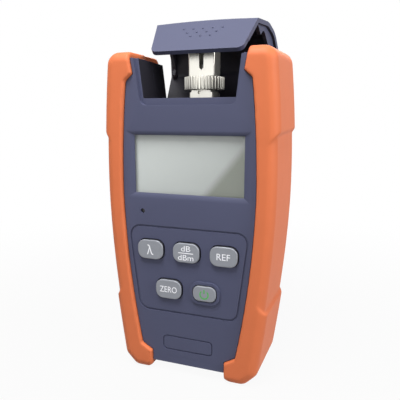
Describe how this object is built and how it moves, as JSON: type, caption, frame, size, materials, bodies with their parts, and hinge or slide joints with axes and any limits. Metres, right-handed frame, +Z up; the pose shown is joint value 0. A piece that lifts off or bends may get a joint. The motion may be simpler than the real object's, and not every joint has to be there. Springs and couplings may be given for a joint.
{
  "type": "optical power meter",
  "caption": "Hand-held optical power meter with a display, a rubber keypad, soft side bumpers and a hinged cover over its fibre adapter.",
  "frame": {"origin": "in the plane of the feet, on the middle of the body between its front and back", "axes": "+X across the meter to the right as its display is read, +Y from the display towards the back, +Z up from the feet to the port"},
  "size_m": [0.0782, 0.0526, 0.1561],
  "materials": {
    "shell_plastic": "fine satin moulding",
    "bumper_rubber": "soft matt moulding",
    "clear_window": "clear and smooth",
    "display_glass": "grey-green display without segments",
    "key_rubber": "soft matt key tops",
    "key_silicone": "matt",
    "port_metal": "satin, pale",
    "ceramic": "polished",
    "steel": "bright",
    "white_plastic": "plain",
    "board_laminate": "green circuit board",
    "switch_plastic": "plain black",
    "smoked_lens": "dark and smooth",
    "detector_metal": "plated can",
    "cell_metal": "bare steel can",
    "spring_metal": "plated leaf"
  },
  "bodies": {
    "meter": {"adapter_body": "port_metal", "adapter_sleeve": "ceramic", "board_screw_lower_left": "steel", "board_screw_lower_right": "steel", "board_screw_upper_left": "steel", "board_screw_upper_right": "steel", "circuit_board": "board_laminate", "contact_bridge": "spring_metal", "contact_negative": "spring_metal", "contact_positive": "spring_metal", "cover_hinge_pin": "steel", "detector": "detector_metal", "display_holder": "white_plastic", "display_panel": "display_glass", "display_window": "clear_window", "front_shell": "shell_plastic", "housing_screw_lower_left": "steel", "housing_screw_lower_right": "steel", "housing_screw_upper_left": "steel", "housing_screw_upper_right": "steel", "indicator_led": "white_plastic", "indicator_lens": "smoked_lens", "key_mat": "key_silicone", "left_battery": "cell_metal", "left_bumper": "bumper_rubber", "port_base": "port_metal", "port_screw_left": "steel", "port_screw_right": "steel", "rear_shell": "shell_plastic", "right_battery": "cell_metal", "right_bumper": "bumper_rubber", "switch_power": "switch_plastic", "switch_reference": "switch_plastic", "switch_units": "switch_plastic", "switch_wavelength": "switch_plastic", "switch_zero": "switch_plastic"},
    "cover": {"port_cover": "shell_plastic"},
    "ring": {"coupling_ring": "port_metal"},
    "door": {"battery_door": "shell_plastic"},
    "wavelength_key": {"key_wavelength": "key_rubber"},
    "units_key": {"key_units": "key_rubber"},
    "reference_key": {"key_reference": "key_rubber"},
    "zero_key": {"key_zero": "key_rubber"},
    "power_key": {"key_power": "key_rubber"}
  },
  "joints": [
    {"name": "cover_hinge", "type": "hinge", "parent": "meter", "child": "cover", "pos_m": [0, 0.0142, 0.1184], "axis": [-1, 0, 0], "range_deg": [-46, 49]},
    {"name": "ring_turn", "type": "hinge", "parent": "meter", "child": "ring", "pos_m": [0, 0.0055, 0.1284], "axis": [0, 0, 1], "continuous": true},
    {"name": "door_hinge", "type": "hinge", "parent": "meter", "child": "door", "pos_m": [0, 0.0161, 0.0199], "axis": [-1, 0, 0], "range_deg": [0, 75]},
    {"name": "wavelength_press", "type": "slide", "parent": "meter", "child": "wavelength_key", "axis": [0, 1, 0], "range_m": [0, 0.001], "stiffness_N_per_m": 1500},
    {"name": "units_press", "type": "slide", "parent": "meter", "child": "units_key", "axis": [0, 1, 0], "range_m": [0, 0.001], "stiffness_N_per_m": 1500},
    {"name": "reference_press", "type": "slide", "parent": "meter", "child": "reference_key", "axis": [0, 1, 0], "range_m": [0, 0.001], "stiffness_N_per_m": 1500},
    {"name": "zero_press", "type": "slide", "parent": "meter", "child": "zero_key", "axis": [0, 1, 0], "range_m": [0, 0.001], "stiffness_N_per_m": 1500},
    {"name": "power_press", "type": "slide", "parent": "meter", "child": "power_key", "axis": [0, 1, 0], "range_m": [0, 0.001], "stiffness_N_per_m": 1500}
  ]
}
